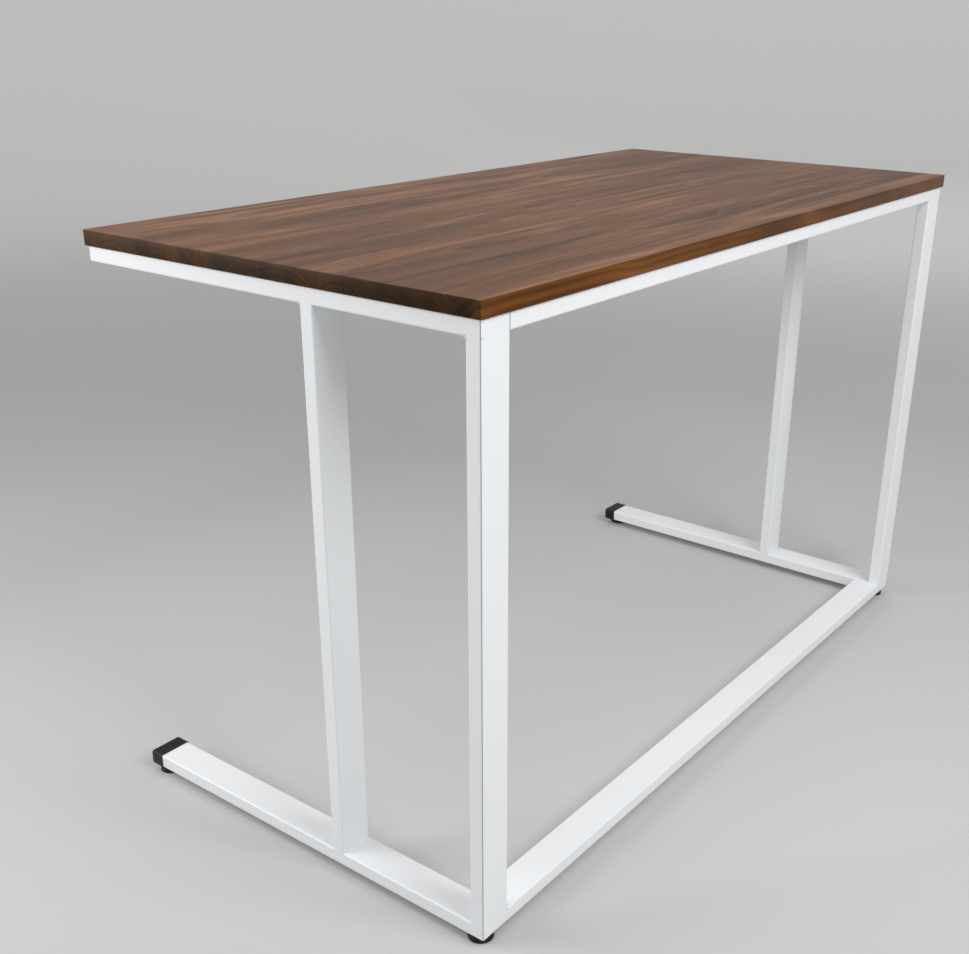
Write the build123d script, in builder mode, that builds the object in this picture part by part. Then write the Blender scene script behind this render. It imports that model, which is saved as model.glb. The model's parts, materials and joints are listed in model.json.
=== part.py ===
"""Standing-height desk: a solid walnut top on a bolt-together frame of flat rectangular steel tube.

Two C-shaped side frames carry the top. Each is a top rail, a foot rail and two posts, set towards the back,
so that the front stays open. A back top rail, a back bottom rail and a front top rail join the side frames.
X runs along the desk, -Y is the open front where the user stands, +Z is up, and the floor is at Z = 0.
"""
from build123d import *
import os

# Desktop
TOP_LENGTH = 1600
TOP_DEPTH = 800
TOP_THICKNESS = 25
TOP_EDGE_BREAK = 0.8
HEIGHT = 1000

# Steel tube, the same section throughout
TUBE_WIDTH = 60
TUBE_HEIGHT = 25
TUBE_WALL = 2
TUBE_RADIUS = 3
OVERHANG = 4
MID_POST_SETBACK = 294
END_PLATE = 4
WELD_RADIUS = 7

# Levelling feet
FLOOR_GAP = 15
FOOT_INSET_X = 24
BACK_FOOT_INSET_Y = 24
FRONT_FOOT_INSET_Y = 22
PAD_RADIUS = 21
PAD_TOP_RADIUS = 19
PAD_HEIGHT = 9.6
SOCKET_RADIUS = 4.3
SOCKET_FLOOR = 4
JOURNAL_RADIUS = 4.25
HEX_BOTTOM = 10
HEX_TOP = 13
HEX_ACROSS_FLATS = 17
STEM_RADIUS = 4.7
STEM_TOP = 37
STEM_BORE_RADIUS = 5
NUT_LENGTH = 28
NUT_DEPTH = 24
NUT_HEIGHT = 8

# Caps over the front ends of the foot rails
CAP_PROUD = 1.5
CAP_LENGTH = 28
CAP_END = 3
CAP_FIT = 0.1
CAP_SLOT_RADIUS = 5.5

# Screws that hold the top to the rails, and their inserts
SCREW_RADIUS = 3
SCREW_LENGTH = 35
SCREW_HEAD_RADIUS = 6
SCREW_HEAD_HEIGHT = 3.3
SCREW_HEAD_TAPER = 12
SCREW_HEX_RADIUS = 2.3
SCREW_HEX_DEPTH = 2
SCREW_HOLE_RADIUS = 3.3
TAPPED_RADIUS = 3.05
INSERT_RADIUS = 4.5
INSERT_LENGTH = 13
INSERT_FIT = 0.05

# Spigots that carry the long rails, and the gap left at each end of a rail for its paint
RAIL_END_GAP = 0.5
SPIGOT_LENGTH = 50
SPIGOT_WALL = 4
SPIGOT_FIT = 0.25
JOINT_SCREW_LENGTH = 8
JOINT_SCREW_INSET = 25
JOINT_SCREW_SPREAD = 28

# Levels and centre lines that follow from the sizes above
FRAME_X = TOP_LENGTH / 2 - OVERHANG
FRAME_Y = TOP_DEPTH / 2 - OVERHANG
FRAME_TOP = HEIGHT - TOP_THICKNESS
INNER_X = FRAME_X - TUBE_WIDTH
SIDE_X = FRAME_X - TUBE_WIDTH / 2
FOOT_RAIL_Z = FLOOR_GAP + TUBE_HEIGHT / 2
TOP_RAIL_Z = FRAME_TOP - TUBE_HEIGHT / 2
POST_BOTTOM = FLOOR_GAP + TUBE_HEIGHT
POST_TOP = FRAME_TOP - TUBE_HEIGHT
BACK_POST_Y = FRAME_Y - TUBE_HEIGHT / 2
MID_POST_Y = FRAME_Y - MID_POST_SETBACK - TUBE_HEIGHT / 2
BACK_RAIL_Y = FRAME_Y - TUBE_WIDTH / 2
FRONT_RAIL_Y = -BACK_RAIL_Y
FOOT_X = FRAME_X - FOOT_INSET_X
FOOT_Y = {"back": FRAME_Y - BACK_FOOT_INSET_Y, "front": -FRAME_Y + FRONT_FOOT_INSET_Y}
SIDES = {"right": 1, "left": -1}

# The long rails: centre line Y and Z of each
LONG_RAILS = {
    "back_top": (BACK_RAIL_Y, TOP_RAIL_Z),
    "back_bottom": (BACK_RAIL_Y, FOOT_RAIL_Z),
    "front_top": (FRONT_RAIL_Y, TOP_RAIL_Z),
}

# Where the screws go up into the desktop
SIDE_SCREWS_Y = (-280, -80, 236)
LONG_SCREWS_X = (-480, 0, 480)
TOP_SCREWS = [(side * SIDE_X, y) for side in (1, -1) for y in SIDE_SCREWS_Y]
TOP_SCREWS += [(x, y) for y in (BACK_RAIL_Y, FRONT_RAIL_Y) for x in LONG_SCREWS_X]


def save(part, name):
    part.label = name
    export_step(part, f"parts/{name}.step")


def tube_section():
    """Flat rectangular tube, wide across the sketch and low up it."""
    RectangleRounded(TUBE_WIDTH, TUBE_HEIGHT, TUBE_RADIUS)
    RectangleRounded(
        TUBE_WIDTH - 2 * TUBE_WALL,
        TUBE_HEIGHT - 2 * TUBE_WALL,
        TUBE_RADIUS - TUBE_WALL,
        mode=Mode.SUBTRACT,
    )


def across(x, y, z):
    """Plane that faces +Y, for a piece that runs from front to back."""
    return Plane(origin=(x, y, z), x_dir=(1, 0, 0), z_dir=(0, 1, 0))


def along(x, y, z, direction=1):
    """Plane that faces +X or -X, for a piece that runs along the desk."""
    return Plane(origin=(x, y, z), x_dir=(0, 1, 0), z_dir=(direction, 0, 0))


def joint_screw_places(rail_y):
    """Two screws near each end of a long rail."""
    ends = [side * (INNER_X - JOINT_SCREW_INSET) for side in (1, -1)]
    offsets = (-JOINT_SCREW_SPREAD / 2, JOINT_SCREW_SPREAD / 2)
    return [(x, rail_y + offset) for x in ends for offset in offsets]


def make_screws(name, groups, length):
    """Button-head screws with a hexagon socket; each group has its places and the height its heads seat at."""
    with BuildPart() as screws:
        for places, seat_z in groups:
            with BuildSketch(Plane.XY.offset(seat_z)):
                with Locations(*places):
                    Circle(SCREW_RADIUS)
            extrude(amount=length)
            with BuildSketch(Plane.XY.offset(seat_z)):
                with Locations(*places):
                    Circle(SCREW_HEAD_RADIUS)
            extrude(amount=-SCREW_HEAD_HEIGHT, taper=SCREW_HEAD_TAPER)
            with BuildSketch(Plane.XY.offset(seat_z - SCREW_HEAD_HEIGHT)):
                with Locations(*places):
                    RegularPolygon(SCREW_HEX_RADIUS, 6)
            extrude(amount=SCREW_HEX_DEPTH, mode=Mode.SUBTRACT)
    save(screws.part, name)


def make_desktop():
    with BuildPart() as desktop:
        with BuildSketch(Plane.XY.offset(FRAME_TOP)):
            Rectangle(TOP_LENGTH, TOP_DEPTH)
        extrude(amount=TOP_THICKNESS)
        chamfer(desktop.edges(), TOP_EDGE_BREAK)
        with BuildSketch(Plane.XY.offset(FRAME_TOP)):
            with Locations(*TOP_SCREWS):
                Circle(INSERT_RADIUS)
        extrude(amount=INSERT_LENGTH, mode=Mode.SUBTRACT)
    save(desktop.part, "desktop")


def make_desktop_inserts():
    with BuildPart() as inserts:
        with BuildSketch(Plane.XY.offset(FRAME_TOP)):
            with Locations(*TOP_SCREWS):
                Circle(INSERT_RADIUS - INSERT_FIT)
                Circle(TAPPED_RADIUS, mode=Mode.SUBTRACT)
        extrude(amount=INSERT_LENGTH)
    save(inserts.part, "desktop_inserts")


def make_side_top_rail(name, side):
    length = 2 * (FRAME_Y - END_PLATE)
    with BuildPart() as rail:
        with BuildSketch(across(side * SIDE_X, -length / 2, TOP_RAIL_Z)):
            tube_section()
        extrude(amount=length)
        with Locations(*[(side * SIDE_X, y, FRAME_TOP) for y in SIDE_SCREWS_Y]):
            Hole(SCREW_HOLE_RADIUS, depth=TUBE_HEIGHT)
    save(rail.part, f"{name}_top_rail")


def make_foot_rail(name, side):
    front = -FRAME_Y + CAP_END
    back = FRAME_Y - END_PLATE
    with BuildPart() as rail:
        with BuildSketch(across(side * SIDE_X, front, FOOT_RAIL_Z)):
            tube_section()
        extrude(amount=back - front)
        with Locations(*[(side * FOOT_X, y, FLOOR_GAP + TUBE_WALL) for y in FOOT_Y.values()]):
            Hole(STEM_BORE_RADIUS, depth=TUBE_WALL)
    save(rail.part, f"{name}_foot_rail")


def make_post(name, side, y):
    with BuildPart() as post:
        with BuildSketch(Plane(origin=(side * SIDE_X, y, POST_BOTTOM))):
            tube_section()
        extrude(amount=POST_TOP - POST_BOTTOM)
    save(post.part, name)


def make_end_plates(name, side):
    """Closing plates with rounded upright edges, at the ends that have no cap."""
    ends = [(-FRAME_Y, TOP_RAIL_Z), (FRAME_Y - END_PLATE, TOP_RAIL_Z), (FRAME_Y - END_PLATE, FOOT_RAIL_Z)]
    with BuildPart() as plates:
        for y, z in ends:
            with BuildSketch(across(side * SIDE_X, y, z)):
                RectangleRounded(TUBE_WIDTH, TUBE_HEIGHT, TUBE_RADIUS)
            extrude(amount=END_PLATE)
        outer = [face.edges() for face in plates.faces() if abs(abs(face.center().Y) - FRAME_Y) < 0.01]
        upright = [edge for edges in outer for edge in edges.filter_by(Axis.Z)]
        fillet(upright, TUBE_RADIUS)
    save(plates.part, f"{name}_end_plates")


def make_frame_welds(name, side):
    """Weld beads: rounded ones in two upper inner corners, flush ones where a post meets a rail's round edge."""
    length = TUBE_HEIGHT - 2 * TUBE_RADIUS
    with BuildPart() as welds:
        # Hollow corner fillets under the top rail, in front of each post
        for post_y in (BACK_POST_Y, MID_POST_Y):
            corner_y = post_y - TUBE_HEIGHT / 2
            with BuildSketch(along(side * SIDE_X, corner_y, POST_TOP)):
                with Locations((-WELD_RADIUS / 2, -WELD_RADIUS / 2)):
                    Rectangle(WELD_RADIUS, WELD_RADIUS)
                with Locations((-WELD_RADIUS, -WELD_RADIUS)):
                    Circle(WELD_RADIUS, mode=Mode.SUBTRACT)
            extrude(amount=TUBE_WIDTH / 2 - TUBE_RADIUS, both=True)
        # Fillers between a rail's round edge and the end of a post
        for post_y in (BACK_POST_Y, MID_POST_Y):
            for rail_face_z, into_rail in ((POST_TOP, 1), (POST_BOTTOM, -1)):
                with BuildSketch(across(side * SIDE_X, post_y - length / 2, rail_face_z)):
                    for edge in (1, -1):
                        with Locations((edge * (TUBE_WIDTH - TUBE_RADIUS) / 2, -into_rail * TUBE_RADIUS / 2)):
                            Rectangle(TUBE_RADIUS, TUBE_RADIUS)
                        with Locations((edge * (TUBE_WIDTH / 2 - TUBE_RADIUS), -into_rail * TUBE_RADIUS)):
                            Circle(TUBE_RADIUS, mode=Mode.SUBTRACT)
                extrude(amount=length)
    save(welds.part, f"{name}_frame_welds")


def make_foot_cap(name, side):
    with BuildPart() as cap:
        with BuildSketch(across(side * SIDE_X, -FRAME_Y, FOOT_RAIL_Z)):
            RectangleRounded(TUBE_WIDTH + 2 * CAP_PROUD, TUBE_HEIGHT + 2 * CAP_PROUD, TUBE_RADIUS + CAP_PROUD)
        extrude(amount=CAP_LENGTH)
        fillet(cap.faces().sort_by(Axis.Y)[0].edges(), CAP_PROUD)
        with BuildSketch(across(side * SIDE_X, -FRAME_Y + CAP_END, FOOT_RAIL_Z)):
            RectangleRounded(TUBE_WIDTH + 2 * CAP_FIT, TUBE_HEIGHT + 2 * CAP_FIT, TUBE_RADIUS + CAP_FIT)
        extrude(amount=CAP_LENGTH - CAP_END, mode=Mode.SUBTRACT)
        # A slot in the floor of the cap, open towards the rail, clears the foot's stem
        slot_length = CAP_LENGTH - FRONT_FOOT_INSET_Y
        with BuildSketch(Plane(origin=(side * FOOT_X, FOOT_Y["front"], FLOOR_GAP - CAP_PROUD))):
            Circle(CAP_SLOT_RADIUS)
            with Locations((0, slot_length / 2)):
                Rectangle(2 * CAP_SLOT_RADIUS, slot_length)
        extrude(amount=CAP_PROUD, mode=Mode.SUBTRACT)
    save(cap.part, f"{name}_foot_cap")


def make_long_rail(name, y, z):
    underside = z - TUBE_HEIGHT / 2
    half_length = INNER_X - RAIL_END_GAP
    with BuildPart() as rail:
        with BuildSketch(along(-half_length, y, z)):
            tube_section()
        extrude(amount=2 * half_length)
        with BuildSketch(Plane.XY.offset(underside)):
            with Locations(*joint_screw_places(y)):
                Circle(SCREW_HOLE_RADIUS)
        extrude(amount=TUBE_WALL, mode=Mode.SUBTRACT)
        if z == TOP_RAIL_Z:
            with Locations(*[(x, y, FRAME_TOP) for x in LONG_SCREWS_X]):
                Hole(SCREW_HOLE_RADIUS, depth=TUBE_HEIGHT)
    save(rail.part, f"{name}_rail")


def make_spigot(name, side, y, z):
    """Short tube welded to the side frame; the long rail slides over it and is screwed from below."""
    width = TUBE_WIDTH - 2 * (TUBE_WALL + SPIGOT_FIT)
    height = TUBE_HEIGHT - 2 * (TUBE_WALL + SPIGOT_FIT)
    with BuildPart() as spigot:
        with BuildSketch(along(side * INNER_X, y, z, -side)):
            RectangleRounded(width, height, TUBE_RADIUS - TUBE_WALL)
            Rectangle(width - 2 * SPIGOT_WALL, height - 2 * SPIGOT_WALL, mode=Mode.SUBTRACT)
        extrude(amount=SPIGOT_LENGTH)
        with BuildSketch(Plane.XY.offset(z - height / 2)):
            with Locations(*joint_screw_places(y)):
                Circle(TAPPED_RADIUS)
        extrude(amount=SPIGOT_WALL, mode=Mode.SUBTRACT)
    save(spigot.part, name)


def make_leveller_nuts():
    places = [(side * FOOT_X, y) for side in SIDES.values() for y in FOOT_Y.values()]
    with BuildPart() as nuts:
        with BuildSketch(Plane.XY.offset(FLOOR_GAP + TUBE_WALL)):
            with Locations(*places):
                Rectangle(NUT_LENGTH, NUT_DEPTH)
                Circle(STEM_BORE_RADIUS, mode=Mode.SUBTRACT)
        extrude(amount=NUT_HEIGHT)
    save(nuts.part, "leveller_nuts")


def make_foot_pad(name, x, y):
    """Round pad, waisted at the top, with a blind socket that the stem turns in."""
    with BuildPart() as pad:
        with BuildSketch(Plane(origin=(x, y, 0), x_dir=(1, 0, 0), z_dir=(0, -1, 0))):
            with BuildLine():
                Polyline(
                    (0, 0),
                    (PAD_RADIUS - 1, 0),
                    (PAD_RADIUS, 1),
                    (PAD_RADIUS, PAD_HEIGHT / 2),
                    (PAD_TOP_RADIUS, PAD_HEIGHT),
                    (SOCKET_RADIUS, PAD_HEIGHT),
                    (SOCKET_RADIUS, SOCKET_FLOOR),
                    (0, SOCKET_FLOOR),
                    close=True,
                )
            make_face()
        revolve(axis=Axis((x, y, 0), (0, 0, 1)))
    save(pad.part, f"{name}_foot_pad")


def make_foot_stem(name, x, y):
    """Steel stem: a journal in the pad, a hexagon for a spanner, and the threaded shank."""
    with BuildPart() as stem:
        with BuildSketch(Plane(origin=(x, y, SOCKET_FLOOR + 0.2))):
            Circle(JOURNAL_RADIUS)
        extrude(amount=HEX_BOTTOM - SOCKET_FLOOR - 0.2)
        with BuildSketch(Plane(origin=(x, y, HEX_BOTTOM))):
            RegularPolygon(HEX_ACROSS_FLATS / 2, 6, major_radius=False)
        extrude(amount=HEX_TOP - HEX_BOTTOM)
        with BuildSketch(Plane(origin=(x, y, HEX_TOP))):
            Circle(STEM_RADIUS)
        extrude(amount=STEM_TOP - HEX_TOP)
        chamfer(stem.faces().sort_by(Axis.Z)[-1].edges(), 1)
    save(stem.part, f"{name}_foot_stem")


os.makedirs("parts", exist_ok=True)
make_desktop()
make_desktop_inserts()
make_screws("desktop_screws", [(TOP_SCREWS, POST_TOP)], SCREW_LENGTH)
for side_name, direction in SIDES.items():
    make_side_top_rail(side_name, direction)
    make_foot_rail(side_name, direction)
    make_post(f"{side_name}_back_post", direction, BACK_POST_Y)
    make_post(f"{side_name}_mid_post", direction, MID_POST_Y)
    make_end_plates(side_name, direction)
    make_frame_welds(side_name, direction)
    make_foot_cap(side_name, direction)
    for rail_name, (rail_y, rail_z) in LONG_RAILS.items():
        make_spigot(f"{side_name}_{rail_name}_spigot", direction, rail_y, rail_z)
    for end_name, foot_y in FOOT_Y.items():
        make_foot_pad(f"{side_name}_{end_name}", direction * FOOT_X, foot_y)
        make_foot_stem(f"{side_name}_{end_name}", direction * FOOT_X, foot_y)
for rail_name, (rail_y, rail_z) in LONG_RAILS.items():
    make_long_rail(rail_name, rail_y, rail_z)
joint_groups = [(joint_screw_places(rail_y), rail_z - TUBE_HEIGHT / 2) for rail_y, rail_z in LONG_RAILS.values()]
make_screws("rail_joint_screws", joint_groups, JOINT_SCREW_LENGTH)
make_leveller_nuts()
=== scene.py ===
"""Standing desk: a walnut top on a white tube frame with levelling feet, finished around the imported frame.

Laid out as an add-on and run as a script. Each operator makes one piece, or one group of like pieces.
"""
import json
import math

import bpy
import numpy as np
from bpy.props import FloatProperty, FloatVectorProperty, IntProperty, PointerProperty
from mathutils import Euler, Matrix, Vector


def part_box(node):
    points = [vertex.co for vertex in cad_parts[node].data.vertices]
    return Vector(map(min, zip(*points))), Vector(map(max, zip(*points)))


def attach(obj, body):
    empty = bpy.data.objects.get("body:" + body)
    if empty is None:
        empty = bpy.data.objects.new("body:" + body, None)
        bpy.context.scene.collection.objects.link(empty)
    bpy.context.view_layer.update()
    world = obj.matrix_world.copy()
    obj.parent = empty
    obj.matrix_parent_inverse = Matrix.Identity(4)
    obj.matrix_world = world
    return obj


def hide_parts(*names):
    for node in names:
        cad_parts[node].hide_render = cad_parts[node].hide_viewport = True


bl_info = {
    "name": "Standing Desk",
    "version": (1, 0, 0),
    "blender": (4, 5, 0),
    "location": "View3D > Sidebar > Desk",
    "description": "Finishes a walnut standing desk on a white tube frame",
    "category": "Object",
}

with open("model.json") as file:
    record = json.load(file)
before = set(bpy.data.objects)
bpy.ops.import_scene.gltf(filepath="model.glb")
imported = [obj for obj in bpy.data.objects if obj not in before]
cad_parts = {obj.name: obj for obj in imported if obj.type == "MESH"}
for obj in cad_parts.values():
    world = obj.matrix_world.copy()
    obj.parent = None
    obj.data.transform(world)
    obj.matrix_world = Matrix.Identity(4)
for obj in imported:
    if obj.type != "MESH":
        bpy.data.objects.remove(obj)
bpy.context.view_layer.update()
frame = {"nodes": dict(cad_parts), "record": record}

SIDES = ("right", "left")
CORNERS = ("right_back", "right_front", "left_back", "left_front")
MM = 0.001

# Painted light and shade on the floor and backdrop: how bright they are, by their distance from the middle of
# the desk as a share of FLOOR_REACH metres
FLOOR_REACH = 10.0
FLOOR_PAINTED_LIGHT = (
    (0.0, 1.10), (0.07, 1.05), (0.14, 0.92), (0.22, 0.86),
    (0.30, 0.92), (0.42, 1.12), (0.62, 1.56), (0.90, 1.95),
)

# Each square lamp: name, place and side in metres, power in watts, and whether reflections show it
LAMPS = (
    ("overhead_soft", (0.2, 0.3, 4.8), 4.0, 46.0, True),
    ("back_soft", (0.5, 2.9, 3.0), 2.0, 88.0, True),
    ("side_soft", (2.1, -1.5, 1.65), 1.6, 38.0, True),
    ("far_soft", (-5.4, -1.6, 2.6), 3.0, 22.0, False),
)
LAMP_TARGET = (0, 0, 0.5)
AIR_STRENGTH = 0.45

# The camera's place in metres, its turn in degrees, its lens and sensor in millimetres, and its shift
CAMERA_PLACE = (1.9468, 1.3251, 1.3257)
CAMERA_TURN = (67.04, -0.51, 127.06)
CAMERA_LENS = 45.71
CAMERA_SENSOR = 36.0
CAMERA_SHIFT = (-0.0391, 0.0531)
CAMERA_REACH = 60.0


# ---------------------------------------------------------------- settings


def colour(name, description, value):
    return FloatVectorProperty(
        name=name, description=description, default=value, size=3, subtype="COLOR", min=0, max=1
    )


def length(name, description, millimetres):
    return FloatProperty(name=name, description=description, default=millimetres * MM, min=0, unit="LENGTH")


class DeskTopSettings(bpy.types.PropertyGroup):
    arris: length("Arris", "Radius of the eased edges of the top", 1.3)
    board_width: length("Board width", "Mean width of the boards glued into the top", 118)
    ring_spacing: length("Ring spacing", "Mean distance between growth rings", 5.5)
    dark: colour("Dark grain", "Late wood and heart streaks", (0.046, 0.0185, 0.0078))
    middle: colour("Middle grain", "Most of the wood", (0.148, 0.063, 0.029))
    light: colour("Light grain", "Early wood and the palest boards", (0.29, 0.142, 0.076))
    roughness: FloatProperty(name="Roughness", description="Roughness of the oiled surface", default=0.42)
    # Painted shade: the long edges are a darker copy of the top's long grain
    long_edge_shade: colour("Long edge", "Middle colour of the long edges", (0.086, 0.029, 0.0050))
    end_grain: colour("End grain", "Middle colour of the short edges", (0.034, 0.0125, 0.0026))


class DeskFrameSettings(bpy.types.PropertyGroup):
    coat: colour("Powder coat", "Colour of the coated tube", (0.83, 0.85, 0.87))
    # Painted shade: a dark line along the tubes' outer round corners, standing in for their shading
    painted_corner_shade: colour("Thin coat", "Colour where the coat thins at the outer corners", (0.16, 0.165, 0.17))
    roughness: FloatProperty(name="Roughness", description="Roughness of the powder coat", default=0.36)
    tube_radius: length("Tube corner", "Outside corner radius of the tube", 3)
    fillet: length("Corner fillet", "Radius of the ground inner corners", 7)
    bead: length("Weld bead", "Leg length of the plain weld beads", 2.6)
    ripple: length("Weld ripple", "Distance between the ripples of a bead", 2.4)


class DeskFootSettings(bpy.types.PropertyGroup):
    plastic: colour("Black plastic", "Colour of the caps and pads", (0.0058, 0.006, 0.0068))
    steel: colour("Zinc plate", "Colour of the stems and screws", (0.62, 0.63, 0.65))
    brass: colour("Brass", "Colour of the inserts in the top", (0.72, 0.55, 0.28))
    pad_edge: length("Pad edge", "Rounding of the pads' edges", 1.2)
    socket: length("Socket", "Radius of the pads' socket for the stem", 4.3)
    pitch: length("Thread pitch", "Pitch of the levelling thread", 1.5)
    thread_depth: length("Thread depth", "Depth of the levelling thread", 0.75)
    flats: length("Hexagon", "Width of the hexagon across its flats", 17)
    journal: length("Journal", "Radius of the stem inside its pad", 4.25)
    shank: length("Shank", "Radius of the threaded shank", 4.7)


class DeskStageSettings(bpy.types.PropertyGroup):
    floor: colour("Floor", "Colour of the floor and the backdrop", (0.51, 0.51, 0.507))
    flat_radius: length("Flat radius", "Radius of the flat part of the floor", 5200)
    sweep_radius: length("Sweep radius", "Radius of the curve up to the backdrop", 2400)
    wall_height: length("Wall height", "Height of the backdrop", 2600)
    segments: IntProperty(name="Segments", description="Facets round the backdrop", default=96)


# ---------------------------------------------------------------- mesh helpers


def lattice(rows, columns):
    """Quads of a grid of rows by columns points, with the last column joined to the first."""
    row = np.arange(rows - 1)[:, None]
    column = np.arange(columns)[None, :]
    following = (column + 1) % columns
    corners = (row * columns + column, row * columns + following)
    upper = (corners[1] + columns, corners[0] + columns)
    return np.stack([*corners, *upper], -1).reshape(-1, 4)


def closed_tube(points):
    """Mesh of a closed section carried along rows: lattice sides, and a fan to a pole at each end.

    points is rows x columns x 3. Each pole is the mean of its end row.
    """
    rows, columns = points.shape[:2]
    poles = np.stack([points[0].mean(0), points[-1].mean(0)])
    verts = np.concatenate([points.reshape(-1, 3), poles])
    here = np.arange(columns)
    there = (here + 1) % columns
    first = np.stack([there, here, np.full(columns, rows * columns)], -1)
    base = (rows - 1) * columns
    last = np.stack([base + here, base + there, np.full(columns, rows * columns + 1)], -1)
    return verts, [*lattice(rows, columns).tolist(), *first.tolist(), *last.tolist()]


def joined(meshes):
    """Several (verts, faces) pairs as one, with the face indices carried on."""
    verts, faces, start = [], [], 0
    for points, polygons in meshes:
        verts.append(points)
        faces += [[index + start for index in polygon] for polygon in polygons]
        start += len(points)
    return np.concatenate(verts), faces


def add_piece(name, mesh_data, material, body, replaced):
    """Makes the object at the origin, faces outwards, rides it on its body and hides the node it replaces."""
    verts, faces = mesh_data
    mesh = bpy.data.meshes.new(name)
    mesh.from_pydata([tuple(point) for point in verts], [], faces)
    mesh.validate()
    mesh.materials.append(material)
    piece = bpy.data.objects.new(name, mesh)
    bpy.context.scene.collection.objects.link(piece)
    bpy.context.view_layer.objects.active = piece
    piece.select_set(True)
    bpy.ops.object.mode_set(mode="EDIT")
    bpy.ops.mesh.select_all(action="SELECT")
    bpy.ops.mesh.normals_make_consistent(inside=False)
    bpy.ops.object.mode_set(mode="OBJECT")
    piece.select_set(False)
    mesh.shade_smooth()
    mesh.set_sharp_from_angle(angle=math.radians(35))
    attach(piece, body)
    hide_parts(replaced)
    return piece


# ---------------------------------------------------------------- material helpers


class Recipe:
    """A material's node tree, with short calls for the nodes that the finishes share."""

    def __init__(self, name):
        self.material = bpy.data.materials.new(name)
        self.material.use_nodes = True
        self.tree = self.material.node_tree
        self.shader = self.tree.nodes["Principled BSDF"]
        coordinates = self.add("ShaderNodeTexCoord")
        self.place = coordinates.outputs["Object"]
        self.normal = coordinates.outputs["Normal"]

    def add(self, kind, **settings):
        node = self.tree.nodes.new(kind)
        for key, value in settings.items():
            setattr(node, key, value)
        return node

    def feed(self, socket, value):
        """Sets a socket to a constant, or links it to another socket."""
        if isinstance(value, bpy.types.NodeSocket):
            self.tree.links.new(value, socket)
        else:
            socket.default_value = value

    def math(self, operation, *values):
        node = self.add("ShaderNodeMath", operation=operation)
        for socket, value in zip(node.inputs, values):
            self.feed(socket, value)
        return node.outputs[0]

    def combine(self, x, y, z):
        node = self.add("ShaderNodeCombineXYZ")
        for socket, value in zip(node.inputs, (x, y, z)):
            self.feed(socket, value)
        return node.outputs[0]

    def axes(self, vector):
        """The X, Y and Z of a vector."""
        node = self.add("ShaderNodeSeparateXYZ")
        self.feed(node.inputs[0], vector)
        return node.outputs

    def stretched(self, axes, factors):
        """Three values as one place, each scaled by its own factor."""
        return self.combine(*[self.math("MULTIPLY", axis, factor) for axis, factor in zip(axes, factors)])

    def distance(self, one, other):
        """The length of the slanted side over two upright ones."""
        squares = [self.math("POWER", side, 2.0) for side in (one, other)]
        return self.math("SQRT", self.math("ADD", *squares))

    def chances(self, number):
        """Three random values from 0 to 1 for a whole number, the same each time."""
        seed = self.add("ShaderNodeTexWhiteNoise", noise_dimensions="1D")
        self.feed(seed.inputs["W"], number)
        split = self.add("ShaderNodeSeparateColor")
        self.feed(split.inputs[0], seed.outputs["Color"])
        return split.outputs

    def noise(self, vector, scale, detail=3.0, roughness=0.55, distortion=0.0):
        node = self.add("ShaderNodeTexNoise")
        self.feed(node.inputs["Vector"], vector)
        node.inputs["Scale"].default_value = scale
        node.inputs["Detail"].default_value = detail
        node.inputs["Roughness"].default_value = roughness
        node.inputs["Distortion"].default_value = distortion
        return node.outputs["Fac"]

    def remap(self, value, low, high, to_low=0.0, to_high=1.0):
        node = self.add("ShaderNodeMapRange")
        for socket, amount in zip(node.inputs, (value, low, high, to_low, to_high)):
            self.feed(socket, amount)
        return node.outputs[0]

    def ramp(self, value, stops):
        node = self.add("ShaderNodeValToRGB")
        self.feed(node.inputs[0], value)
        elements = node.color_ramp.elements
        while len(elements) < len(stops):
            elements.new(0.5)
        for element, (position, rgb) in zip(elements, stops):
            element.position = position
            element.color = (*rgb, 1.0)
        return node.outputs[0]

    def mix(self, factor, one, other, blend="MIX"):
        node = self.add("ShaderNodeMix", data_type="RGBA", blend_type=blend)
        self.feed(node.inputs["Factor"], factor)
        for socket, value in ((node.inputs["A"], one), (node.inputs["B"], other)):
            self.feed(socket, value if isinstance(value, bpy.types.NodeSocket) else (*value, 1.0))
        return node.outputs["Result"]

    def bump(self, height, distance, strength=1.0, below=None):
        node = self.add("ShaderNodeBump")
        node.inputs["Strength"].default_value = strength
        node.inputs["Distance"].default_value = distance
        self.feed(node.inputs["Height"], height)
        if below is not None:
            self.feed(node.inputs["Normal"], below)
        return node.outputs[0]

    def finish(self, **values):
        for name, value in values.items():
            self.feed(self.shader.inputs[name.replace("_", " ")], value)
        return self.material


def mean_colour(low, high, share):
    return tuple(a + (b - a) * share for a, b in zip(low, high))


def shades_of(colour_value):
    """Ramp stops from a quarter of a colour to two and a half times it."""
    shares = ((0.22, 0.25), (0.48, 1.0), (0.85, 2.5))
    return [(place, tuple(channel * share for channel in colour_value)) for place, share in shares]


def growth_rings(wood, settings, axes, number, pith_side, pith_depth):
    """Noise along the distance from the board's pith line, with a real trunk's slow wander and waves."""
    along, y, z = axes
    centre = wood.math("MULTIPLY", wood.math("ADD", number, -9.5), settings.board_width)
    off_side = wood.math("MULTIPLY", wood.math("ADD", pith_side, -0.5), 0.16)
    from_side = wood.math("SUBTRACT", wood.math("SUBTRACT", y, centre), off_side)
    from_depth = wood.math("SUBTRACT", z, wood.math("MULTIPLY_ADD", pith_depth, -0.10, 0.93))
    slow = wood.noise(wood.stretched(axes, (0.9, 5.0, 1.0)), 1.6, 2.0, 0.5, 0.4)
    wave = wood.noise(wood.stretched(axes, (4.0, 14.0, 1.0)), 1.0, 3.0, 0.55, 0.6)
    radius = wood.math("MULTIPLY_ADD", wave, 0.012, wood.distance(from_side, from_depth))
    warped = wood.math("MULTIPLY_ADD", slow, 0.060, radius)
    place = wood.stretched((warped, along, number), (1.0 / settings.ring_spacing, 0.25, 1.0))
    return wood.noise(place, 1.0, 4.0, 0.62)


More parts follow.
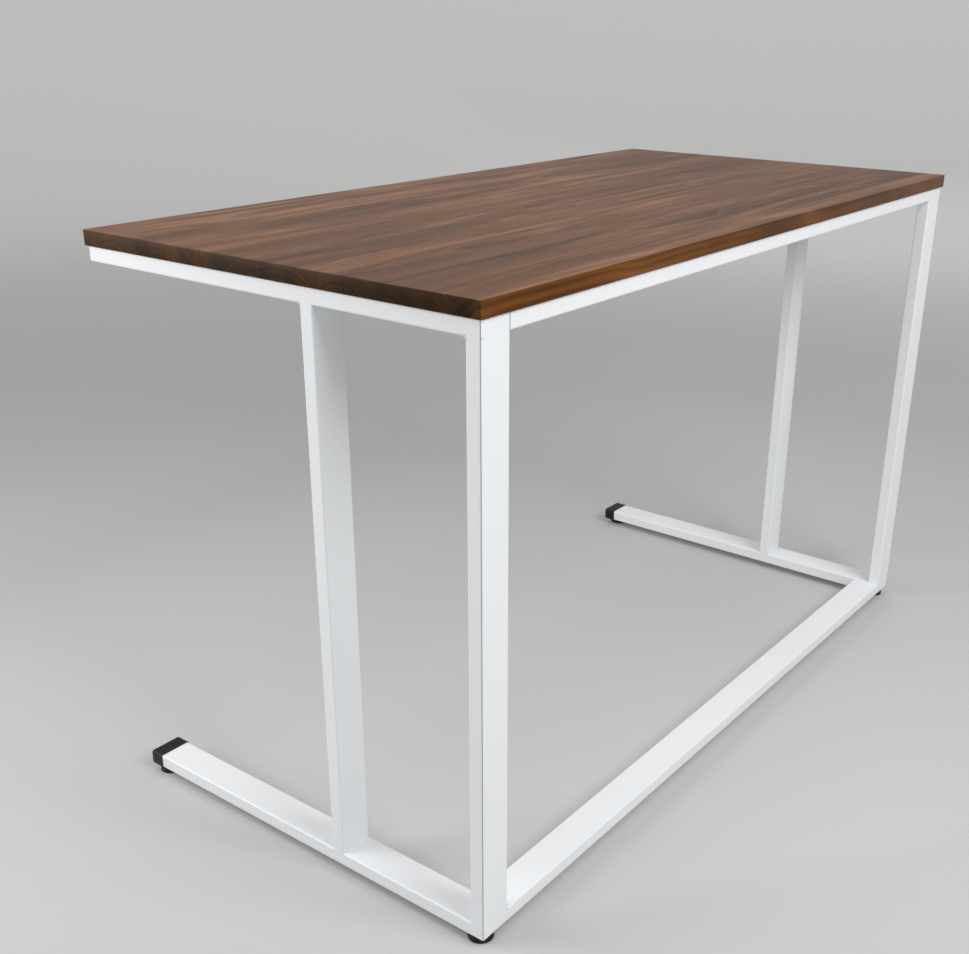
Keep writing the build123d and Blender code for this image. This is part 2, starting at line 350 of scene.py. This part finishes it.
def edge_shades(wood, base, value, facing, middle):
    """Lays an edge's shades over the faces that look along one axis: painted shade on the long edges, the end
    grain's own darker colour on the ends.
    """
    turned = wood.remap(wood.math("ABSOLUTE", facing), 0.55, 0.95)
    return wood.mix(turned, base, wood.ramp(value, shades_of(middle)))


def walnut(settings):
    """Solid walnut: growth rings round a pith line in each board. Faces show long grain and ends show arcs.

    A board's number, from its place across the top, seeds its tone, its pith and where its figure starts.
    """
    wood = Recipe("oiled_walnut")
    x, y, z = wood.axes(wood.place)
    across = wood.math("DIVIDE", wood.math("ADD", y, 10 * settings.board_width), settings.board_width)
    number = wood.math("FLOOR", across)
    tone, pith_side, pith_depth = wood.chances(number)
    axes = (wood.math("MULTIPLY_ADD", tone, 7.0, x), y, z)
    rings = growth_rings(wood, settings, axes, number, pith_side, pith_depth)

    # Fibres and pores are very long and thin, and dots on the ends
    fibre = wood.noise(wood.stretched(axes, (6.0, 260.0, 260.0)), 1.0, 4.0, 0.6, 0.3)
    pores = wood.remap(wood.noise(wood.stretched(axes, (28.0, 1300.0, 1300.0)), 1.0, 2.0, 0.5), 0.60, 0.72)
    # Slow changes of tone
    patches = wood.noise(wood.stretched(axes, (0.8, 9.0, 1.0)), 2.2, 3.0, 0.55, 0.8)
    wander = wood.noise(wood.combine(wood.math("MULTIPLY", x, 0.35), 0.0, 0.0), 1.0, 1.0)

    # One value from dark to light
    value = wood.math("MULTIPLY_ADD", rings, 1.05, -0.12)
    for part, share in ((fibre, 0.42), (patches, 1.05), (tone, 0.16), (wander, 0.10)):
        value = wood.math("MULTIPLY_ADD", wood.math("ADD", part, -0.5), share, value)
    shades = (
        (0.10, settings.dark),
        (0.30, mean_colour(settings.dark, settings.middle, 0.55)),
        (0.46, settings.middle),
        (0.62, mean_colour(settings.middle, settings.light, 0.6)),
        (0.86, settings.light),
    )
    base = wood.mix(wood.math("MULTIPLY", pores, 0.55), wood.ramp(value, shades), settings.dark)

    # Painted shade: the long edges get a darker copy of the long grain. End grain drinks the oil and goes
    # darkest, so it lies over the long edges
    facing = wood.axes(wood.normal)
    base = edge_shades(wood, base, value, facing[1], settings.long_edge_shade)
    base = edge_shades(wood, base, value, facing[0], settings.end_grain)

    grain = wood.math("SUBTRACT", wood.math("MULTIPLY", fibre, 0.6), pores)
    return wood.finish(
        Base_Color=base,
        Roughness=wood.math("MULTIPLY_ADD", fibre, 0.14, settings.roughness - 0.07),
        Normal=wood.bump(grain, 0.00012, 0.55),
        Specular_IOR_Level=0.24,
        Specular_Tint=(1.0, 0.68, 0.4, 1.0),
    )


def powder_coat(settings):
    """White powder coat: fine orange peel over a faint unevenness, with a painted dark shade line along the
    outer corners.

    The painted shade is a soft dark line where the distance to the frame's upright outer corner is least.
    """
    coat = Recipe("white_powder_coat")
    peel = coat.noise(coat.place, 850.0, 2.0, 0.5)
    swell = coat.noise(coat.place, 60.0, 2.0, 0.5)
    tint = coat.noise(coat.place, 5.0, 2.0, 0.5)
    shaded = tuple(channel * 0.965 for channel in settings.coat)
    base = coat.mix(tint, shaded, tuple(settings.coat))

    x, y, _ = coat.axes(coat.place)
    corner = Vector(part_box("right_back_post")[1])
    from_x = coat.math("SUBTRACT", coat.math("ABSOLUTE", x), corner.x)
    from_y = coat.math("SUBTRACT", y, corner.y)
    apex = settings.tube_radius * (math.sqrt(2) - 1)
    # Painted shade: a thin dark line along the outer corners of the coat
    line = coat.remap(coat.distance(from_x, from_y), apex + 0.45 * MM, apex + 0.05 * MM)
    base = coat.mix(coat.math("MULTIPLY", line, 0.8), base, settings.painted_corner_shade)

    rough = coat.math("MULTIPLY_ADD", swell, 0.12, settings.roughness - 0.06)
    relief = coat.bump(peel, 0.00004, 0.6, coat.bump(swell, 0.00008, 0.4))
    return coat.finish(Base_Color=base, Roughness=rough, Normal=relief, IOR=1.5)


def moulded_plastic(settings):
    """Black moulded plastic: spark-eroded texture, with a little dust grey in it."""
    plastic = Recipe("black_plastic")
    texture = plastic.noise(plastic.place, 1700.0, 3.0, 0.6)
    scuffs = plastic.remap(plastic.noise(plastic.place, 90.0, 4.0, 0.6), 0.55, 0.75)
    worn = tuple(channel + 0.006 for channel in settings.plastic)
    base = plastic.mix(scuffs, tuple(settings.plastic), worn)
    rough = plastic.math("MULTIPLY_ADD", scuffs, 0.10, 0.42)
    relief = plastic.bump(texture, 0.00005, 0.7)
    return plastic.finish(Base_Color=base, Roughness=rough, Normal=relief, Specular_IOR_Level=0.32)


def plated_metal(name, tint):
    """Bright zinc or brass: fine turning marks across it, about nine to a millimetre, and cloudy plating."""
    metal = Recipe(name)
    cloud = metal.noise(metal.place, 140.0, 3.0, 0.55)
    height = metal.math("MULTIPLY", metal.axes(metal.place)[2], 9000.0)
    marks = metal.noise(metal.combine(0.0, 0.0, height), 1.0, 2.0)
    base = metal.mix(cloud, tuple(channel * 0.82 for channel in tint), tuple(tint))
    rough = metal.math("MULTIPLY_ADD", cloud, 0.18, 0.24)
    relief = metal.bump(marks, 0.00002, 0.5)
    return metal.finish(Base_Color=base, Roughness=rough, Metallic=1.0, Normal=relief)


def studio_grey(settings):
    """Matt grey floor and backdrop with painted light and shade: a little darker away from the desk, and
    paler again up the sweep.
    """
    paint = Recipe("studio_grey")
    away = paint.add("ShaderNodeVectorMath", operation="LENGTH")
    paint.feed(away.inputs[0], paint.place)
    tone = paint.remap(away.outputs["Value"], 0.0, FLOOR_REACH)
    # Painted light and shade: the floor colour scaled by distance, standing in for how the lamps' light falls
    # off
    stops = [(place, tuple(channel * shade for channel in settings.floor)) for place, shade in FLOOR_PAINTED_LIGHT]
    return paint.finish(Base_Color=paint.ramp(tone, stops), Roughness=0.75)


def paint_nodes(names, material):
    """Gives CAD nodes that keep their own shape their finish."""
    for name in names:
        mesh = frame["nodes"][name].data
        mesh.materials.clear()
        mesh.materials.append(material)


def nodes_in_slot(slot):
    return [row["node"] for row in frame["record"]["subparts"] if row["material_slot"] == slot]


# ---------------------------------------------------------------- shapes


def rounded_panel(low, high, radius, steps=5):
    """A box with every edge rounded: each point is a smaller box's corner plus a radius along its direction.

    Columns go round the outline, a quarter turn of azimuth at each corner. Rows go up from the underside's
    edge to the top's, a quarter turn of elevation about each level. The two large faces are one polygon each.
    """
    quarter = np.linspace(0, math.pi / 2, steps)
    azimuth = (np.arange(4)[:, None] * math.pi / 2 + quarter[None, :]).ravel()
    corner_x = np.repeat([high[0] - radius, low[0] + radius, low[0] + radius, high[0] - radius], steps)
    corner_y = np.repeat([high[1] - radius, high[1] - radius, low[1] + radius, low[1] + radius], steps)
    elevation = np.concatenate([quarter - math.pi / 2, quarter])[:, None]
    level = np.repeat([low[2] + radius, high[2] - radius], steps)[:, None]
    reach = radius * np.cos(elevation)
    x = corner_x + reach * np.cos(azimuth)
    y = corner_y + reach * np.sin(azimuth)
    z = np.broadcast_to(level + radius * np.sin(elevation), x.shape)
    points = np.stack([x, y, z], -1)
    rows, columns = points.shape[:2]
    faces = lattice(rows, columns).tolist()
    faces.append(list(range(columns))[::-1])
    faces.append([(rows - 1) * columns + column for column in range(columns)])
    return points.reshape(-1, 3), faces


def lathed(profile, centre, columns=64):
    """A profile of (radius, height) points turned about an upright line, with a pole at each end."""
    angle = np.linspace(0, 2 * math.pi, columns, endpoint=False)
    radius, height = np.array(profile).T
    x = centre[0] + radius[:, None] * np.cos(angle)
    y = centre[1] + radius[:, None] * np.sin(angle)
    z = np.broadcast_to(height[:, None], x.shape)
    return closed_tube(np.stack([x, y, z], -1))


def arc(centre, radius, start, end, count=6):
    """Points of (radius, height) on an arc, angles in degrees."""
    angle = np.radians(np.linspace(start, end, count))
    return np.stack([centre[0] + radius * np.cos(angle), centre[1] + radius * np.sin(angle)], -1)


def pad_profile(low, high, radius, edge, socket):
    """Levelling pad: flat sole with a recess, rounded rim, upright side, rounded shoulder and raised neck."""
    recess = 0.4 * MM
    shoulder = edge * 1.8
    shoulder_inset = 1 * MM
    neck = socket + 4.5 * MM
    neck_curve = 1.4 * MM
    lip = 0.5 * MM
    socket_floor = low + 4 * MM
    top = high - neck_curve
    return np.concatenate(
        [
            [(radius * 0.30, low), (radius * 0.34, low + recess), (radius * 0.80, low + recess)],
            [(radius * 0.84, low)],
            arc((radius - edge, low + edge), edge, -90, 0),
            arc((radius - shoulder_inset - shoulder, top - shoulder), shoulder, 0, 90, 9),
            arc((neck + neck_curve, high), neck_curve, 270, 180, 5),
            arc((socket + lip, high - lip), lip, 90, 180, 4),
            [(socket, socket_floor)],
        ]
    )


def stem_surface(centre, low, high, settings, columns=48):
    """Stem as one radius over height and angle: round journal, hexagon with chamfered corners, then thread.

    The hexagon's radius is half its flats over the cosine of the angle from the nearest flat, cut by a cone.
    The thread's radius falls in a rounded V once per pitch, and the V turns once per pitch.
    """
    journal_chamfer = hex_chamfer = 0.5 * MM
    hex_low, hex_high = low + 5.8 * MM, low + 8.8 * MM
    thread_start, thread_runout, tip_length, tip_depth = 0.8 * MM, 1.5 * MM, 1 * MM, 0.9 * MM
    rows_per_pitch = 12
    angle = np.linspace(0, 2 * math.pi, columns, endpoint=False)[None, :]

    journal_rows = np.array([low, low + journal_chamfer, hex_low])[:, None]
    journal_radius = settings.journal - np.array([journal_chamfer, 0, 0])[:, None] + 0 * angle

    hex_rows = np.array([hex_low, hex_low + hex_chamfer, hex_high - hex_chamfer, hex_high])[:, None]
    from_flat = (angle + math.pi / 6) % (math.pi / 3) - math.pi / 6
    hexagon = settings.flats / 2 / np.cos(from_flat)
    end_distance = np.minimum(hex_rows - hex_low, hex_high - hex_rows)
    cone = settings.flats / 2 + 0.1 * MM + end_distance * 2.4
    hex_radius = np.minimum(hexagon, cone)

    rows = int(round((high - hex_high) / settings.pitch * rows_per_pitch)) + 1
    thread_rows = np.linspace(hex_high, high, rows)[:, None]
    phase = (thread_rows / settings.pitch - angle / (2 * math.pi)) % 1.0
    valley = np.clip(1.25 - np.abs(phase - 0.5) * 3.2, 0, 1)
    runout = np.clip((thread_rows - hex_high - thread_start) / thread_runout, 0, 1)
    tip = np.clip((thread_rows - high + tip_length) / tip_length, 0, 1) * tip_depth
    thread_radius = settings.shank - np.maximum(settings.thread_depth * valley * runout, tip)

    radius = np.concatenate([journal_radius, hex_radius, thread_radius])
    height = np.concatenate([journal_rows, hex_rows, thread_rows])
    x = centre[0] + radius * np.cos(angle)
    y = centre[1] + radius * np.sin(angle)
    return closed_tube(np.stack([x, y, np.broadcast_to(height, x.shape)], -1))


def edge_retreat(offset, half_width, radius):
    """How far a round-edged tube's face has fallen away at this offset from its middle."""
    past = np.clip(np.abs(offset) - (half_width - radius), 0, radius)
    return radius - np.sqrt(radius**2 - past**2)


def corner_fillet(place, half_width, tube_radius, radius):
    """Ground inner corner: a hollow quarter round between a post's front face and the rail above it.

    Each row, along the corner, is the corner point and the arc; near the ends both fall back with the
    tubes' round edges.
    """
    middle = np.linspace(-half_width + tube_radius, half_width - tube_radius, 3)
    turn = tube_radius * np.sin(np.linspace(0, math.pi / 2, 7)[1:])
    outer = half_width - tube_radius + turn
    offset = np.concatenate([-outer[::-1], middle, outer])
    back = edge_retreat(offset, half_width, tube_radius)[:, None]
    angle = np.radians(np.linspace(90, 0, 10))[None, :]
    away = np.concatenate([-back, radius * (1 - np.cos(angle)) - back], 1)
    below = np.concatenate([-back, radius * (1 - np.sin(angle)) - back], 1)
    x = place[0] + offset[:, None] + 0 * away
    return closed_tube(np.stack([x, place[1] - away, place[2] - below], -1))


def edge_filler(place, outward, upward, half_width, half_depth, radius):
    """Flush weld in the groove between a rail's round edge and a post's end.

    Rows go through the post's depth. Each row is the arc of the rail's edge and the point below its outer
    end; near the post's own round edges the row shrinks back with them.
    """
    ends = half_depth - radius + radius * np.sin(np.linspace(0, math.pi / 2, 7))
    depth = np.concatenate([-ends[::-1], ends])[:, None]
    reach = radius - edge_retreat(depth, half_depth, radius)
    reach = np.maximum(reach, 0.02 * MM)
    share = np.linspace(0, 1, 8)[None, :]
    out = reach * share
    rise = radius - np.sqrt(np.maximum(radius**2 - out**2, 0))
    out = np.concatenate([out, reach], 1)
    rise = np.concatenate([rise, 0 * reach], 1)
    x = place[0] + outward * (half_width - radius + out)
    z = place[2] + upward * rise
    return closed_tube(np.stack([x, place[1] + depth + 0 * out, z], -1))


def weld_bead(place, half_length, away, up, leg, ripple, phase):
    """Weld bead along X in the corner between two faces: a bulging quarter section whose size ripples.

    The leg swells by a twelfth once per ripple, drifts slowly, and closes to a point over its own length
    at each end.
    """
    rows_per_ripple = 7
    rows = int(half_length * 2 / ripple * rows_per_ripple)
    offset = np.linspace(-half_length, half_length, rows)[:, None]
    drift = np.sin(offset * 210 + phase * 5) / 18
    swell = 1 + np.cos((offset / ripple + phase) * 2 * math.pi) / 12 + drift
    taper = np.sqrt(np.clip((half_length - np.abs(offset)) / leg, 0.0004, 1))
    size = leg * swell * np.minimum(taper, 1)
    angle = np.radians(np.linspace(0, 90, 7))[None, :]
    bulge = 0.80 + 0.10 * np.sin(2 * angle)
    corner = np.zeros((1, 1))
    along_face = size * np.concatenate([corner, bulge * np.cos(angle)], 1)
    up_face = size * np.concatenate([corner, bulge * np.sin(angle)], 1)
    lean = ripple * 0.35 * np.concatenate([corner, np.sin(2 * angle)], 1)
    x = place[0] + offset + lean * np.minimum(taper, 1)
    return closed_tube(np.stack([x, place[1] + away * along_face, place[2] + up * up_face], -1))


def ground_weld(place, along, out, half_length, half_width):
    """Flush ground weld over a joint in a flat face: a very low swelling that hides the joint line.

    Across the joint the height is a squared cosine, and along it the swelling fades out at both ends. Its
    edges and its back lie just under the face.
    """
    along, out = np.array(along, float), np.array(out, float)
    across = np.cross(out, along)
    sunk, back, rise, fade_length = 0.02 * MM, 0.4 * MM, 0.12 * MM, 1.5 * MM
    offset = np.linspace(-half_length, half_length, 9)[:, None]
    share = np.linspace(-1, 1, 13)
    fade = np.sqrt(np.clip((half_length - np.abs(offset)) / fade_length, 0, 1))
    height = (rise + sunk) * np.cos(share * math.pi / 2) ** 2 * fade - sunk
    height = np.concatenate([height, np.full((len(offset), 2), -back)], 1)
    share = np.concatenate([share, [1, -1]])
    side = np.broadcast_to(share * half_width, height.shape)
    return closed_tube(
        np.array(place) + along * offset[..., None] + across * side[..., None] + out * height[..., None]
    )


# ---------------------------------------------------------------- operators


class DeskOperator:
    """Shared by the operators: undo."""

    bl_options = {"REGISTER", "UNDO"}


class DESK_OT_stage(DeskOperator, bpy.types.Operator):
    """Lay the floor and its round backdrop, hang the soft lights and set up the camera"""

    bl_idname = "desk.stage"
    bl_label = "Stage"

    def execute(self, context):
        settings = context.scene.desk_stage
        self.backdrop(settings)
        self.lights(context.scene)
        self.camera(context.scene)
        return {"FINISHED"}

    def backdrop(self, settings):
        """A dish turned about the middle of the desk: an upright wall, a quarter round, then the flat floor.

        The last ring is closed with one polygon, so every face looks in and up.
        """
        rim = arc((settings.flat_radius, settings.sweep_radius), settings.sweep_radius, -90, 0, 24)
        wall = [(settings.flat_radius + settings.sweep_radius, settings.wall_height)]
        middle_ring = [(0.5, 0.0)]
        radius, height = np.concatenate([wall, rim[::-1], middle_ring]).T
        angle = np.linspace(0, 2 * math.pi, settings.segments, endpoint=False)
        x = radius[:, None] * np.cos(angle)
        y = radius[:, None] * np.sin(angle)
        points = np.stack([x, y, np.broadcast_to(height[:, None], x.shape)], -1)
        faces = lattice(len(radius), settings.segments).tolist()
        inner = (len(radius) - 1) * settings.segments
        faces.append([inner + column for column in range(settings.segments)])
        mesh = bpy.data.meshes.new("studio_floor")
        mesh.from_pydata([tuple(point) for point in points.reshape(-1, 3)], [], faces)
        mesh.materials.append(studio_grey(settings))
        mesh.shade_smooth()
        floor = bpy.data.objects.new("studio_floor", mesh)
        bpy.context.scene.collection.objects.link(floor)

    def lights(self, scene):
        world = bpy.data.worlds.new("studio_air")
        world.use_nodes = True
        background = world.node_tree.nodes["Background"]
        background.inputs["Color"].default_value = (1.0, 1.0, 1.0, 1.0)
        background.inputs["Strength"].default_value = AIR_STRENGTH
        scene.world = world
        for name, place, size, power, reflected in LAMPS:
            light = bpy.data.lights.new(name, "AREA")
            light.shape = "SQUARE"
            light.size = size
            light.energy = power
            lamp = bpy.data.objects.new(name, light)
            lamp.location = place
            lamp.visible_camera = False
            lamp.visible_glossy = reflected
            aim = Vector(LAMP_TARGET) - Vector(place)
            lamp.rotation_euler = aim.to_track_quat("-Z", "Y").to_euler()
            scene.collection.objects.link(lamp)

    def camera(self, scene):
        """Stands behind the desk's right back corner, a little above the top."""
        data = bpy.data.cameras.new("camera")
        data.lens = CAMERA_LENS
        data.sensor_width = CAMERA_SENSOR
        data.shift_x, data.shift_y = CAMERA_SHIFT
        data.clip_end = CAMERA_REACH
        camera = bpy.data.objects.new("camera", data)
        camera.location = CAMERA_PLACE
        camera.rotation_euler = Euler([math.radians(turn) for turn in CAMERA_TURN], "XYZ")
        scene.collection.objects.link(camera)
        scene.camera = camera
        scene.view_settings.view_transform = "Standard"


class DESK_OT_top(DeskOperator, bpy.types.Operator):
    """Make the walnut top with its eased edges"""

    bl_idname = "desk.top"
    bl_label = "Walnut Top"

    def execute(self, context):
        settings = context.scene.desk_top
        panel = rounded_panel(*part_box("desktop"), settings.arris)
        piece = add_piece("walnut_top", panel, walnut(settings), "root", "desktop")
        # The two large faces are flat, so only the rounded edges are smooth
        for polygon in sorted(piece.data.polygons, key=lambda polygon: polygon.area)[-2:]:
            polygon.use_smooth = False
        return {"FINISHED"}


class DESK_OT_frame(DeskOperator, bpy.types.Operator):
    """Coat the tubes, and lay the weld beads and ground corners of both side frames"""

    bl_idname = "desk.frame"
    bl_label = "Frame and Welds"

    def execute(self, context):
        settings = context.scene.desk_frame
        coat = powder_coat(settings)
        paint_nodes(nodes_in_slot("white_powder_coat"), coat)
        for side in SIDES:
            welds = joined(self.post_welds(side, settings) + self.flush_welds(side, settings))
            add_piece(
                f"{side}_welds", welds, coat, "root", f"{side}_frame_welds"
            )
        return {"FINISHED"}

    def post_welds(self, side, settings):
        """Ground inner corners, groove fillers and beads at the ends of one side's posts."""
        radius = settings.tube_radius
        meshes = []
        for number, post in enumerate((f"{side}_back_post", f"{side}_mid_post")):
            low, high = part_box(post)
            middle = (low + high) / 2
            half_width, half_depth = (high.x - low.x) / 2, (high.y - low.y) / 2
            meshes.append(corner_fillet((middle.x, low.y, high.z), half_width, radius, settings.fillet))
            for level, upward in ((high.z, 1), (low.z, -1)):
                for outward in (1, -1):
                    place = (middle.x, middle.y, level)
                    meshes.append(edge_filler(place, outward, upward, half_width, half_depth, radius))
            beads = [((middle.x, low.y, low.z), -1, 1)]
            if post.endswith("mid_post"):
                beads += [((middle.x, high.y, low.z), 1, 1), ((middle.x, high.y, high.z), 1, -1)]
            for place, away, up in beads:
                phase = 0.31 * len(meshes) + number
                meshes.append(
                    weld_bead(place, half_width - radius, away, up, settings.bead, settings.ripple, phase)
                )
        return meshes

    def flush_welds(self, side, settings):
        """Ground welds over the bottom rail's joint, behind and on top, and both ends of the back post."""
        radius = settings.tube_radius
        low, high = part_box("back_bottom_rail")
        middle = (low + high) / 2
        away = 1 if side == "right" else -1
        joint_x = away * (high.x + radius / 2)
        over_groove = radius * 1.6
        post_low, post_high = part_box(f"{side}_back_post")
        post_x = (post_low.x + post_high.x) / 2
        half_width = (post_high.x - post_low.x) / 2 - radius
        x_axis, y_axis, z_axis = (1, 0, 0), (0, 1, 0), (0, 0, 1)
        meshes = [
            ground_weld((joint_x, high.y, middle.z), z_axis, y_axis, middle.z - low.z - radius, over_groove),
            ground_weld((joint_x, middle.y, high.z), y_axis, z_axis, middle.y - low.y - radius, over_groove),
        ]
        for level in (post_low.z, post_high.z):
            meshes.append(ground_weld((post_x, post_high.y, level), x_axis, y_axis, half_width, 2 * MM))
        return meshes


class DESK_OT_feet(DeskOperator, bpy.types.Operator):
    """Make the levelling pads and their threaded stems, and finish the caps and the fasteners"""

    bl_idname = "desk.feet"
    bl_label = "Feet and Fasteners"

    def execute(self, context):
        settings = context.scene.desk_foot
        plastic = moulded_plastic(settings)
        zinc = plated_metal("zinc_plate", settings.steel)
        brass = plated_metal("turned_brass", settings.brass)
        paint_nodes([f"{side}_foot_cap" for side in SIDES], plastic)
        paint_nodes(("leveller_nuts", "desktop_screws", "rail_joint_screws"), zinc)
        paint_nodes(("desktop_inserts",), brass)
        for corner in CORNERS:
            pad, stem = f"{corner}_pad", f"{corner}_stem"
            low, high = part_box(f"{corner}_foot_pad")
            centre = ((low.x + high.x) / 2, (low.y + high.y) / 2)
            profile = pad_profile(low.z, high.z, (high.x - low.x) / 2, settings.pad_edge, settings.socket)
            add_piece(pad, lathed(profile, centre), plastic, pad, f"{corner}_foot_pad")
            low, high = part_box(f"{corner}_foot_stem")
            surface = stem_surface(centre, low.z, high.z, settings)
            add_piece(stem, surface, zinc, stem, f"{corner}_foot_stem")
        return {"FINISHED"}


class DESK_PT_panel(bpy.types.Panel):
    """Sidebar panel with the desk's operators"""

    bl_idname = "DESK_PT_panel"
    bl_label = "Standing Desk"
    bl_space_type = "VIEW_3D"
    bl_region_type = "UI"
    bl_category = "Desk"

    def draw(self, context):
        for operator in OPERATORS:
            self.layout.operator(operator.bl_idname)


SETTINGS = {
    "desk_top": DeskTopSettings,
    "desk_frame": DeskFrameSettings,
    "desk_foot": DeskFootSettings,
    "desk_stage": DeskStageSettings,
}
OPERATORS = (DESK_OT_stage, DESK_OT_top, DESK_OT_frame, DESK_OT_feet)


def register():
    for group in (*SETTINGS.values(), *OPERATORS, DESK_PT_panel):
        bpy.utils.register_class(group)
    for name, group in SETTINGS.items():
        setattr(bpy.types.Scene, name, PointerProperty(type=group))


def unregister():
    for name in SETTINGS:
        delattr(bpy.types.Scene, name)
    for group in (*SETTINGS.values(), *OPERATORS, DESK_PT_panel):
        bpy.utils.unregister_class(group)


def main():
    register()
    bpy.ops.desk.stage()
    bpy.ops.desk.top()
    bpy.ops.desk.frame()
    bpy.ops.desk.feet()


if __name__ == "__main__":
    main()
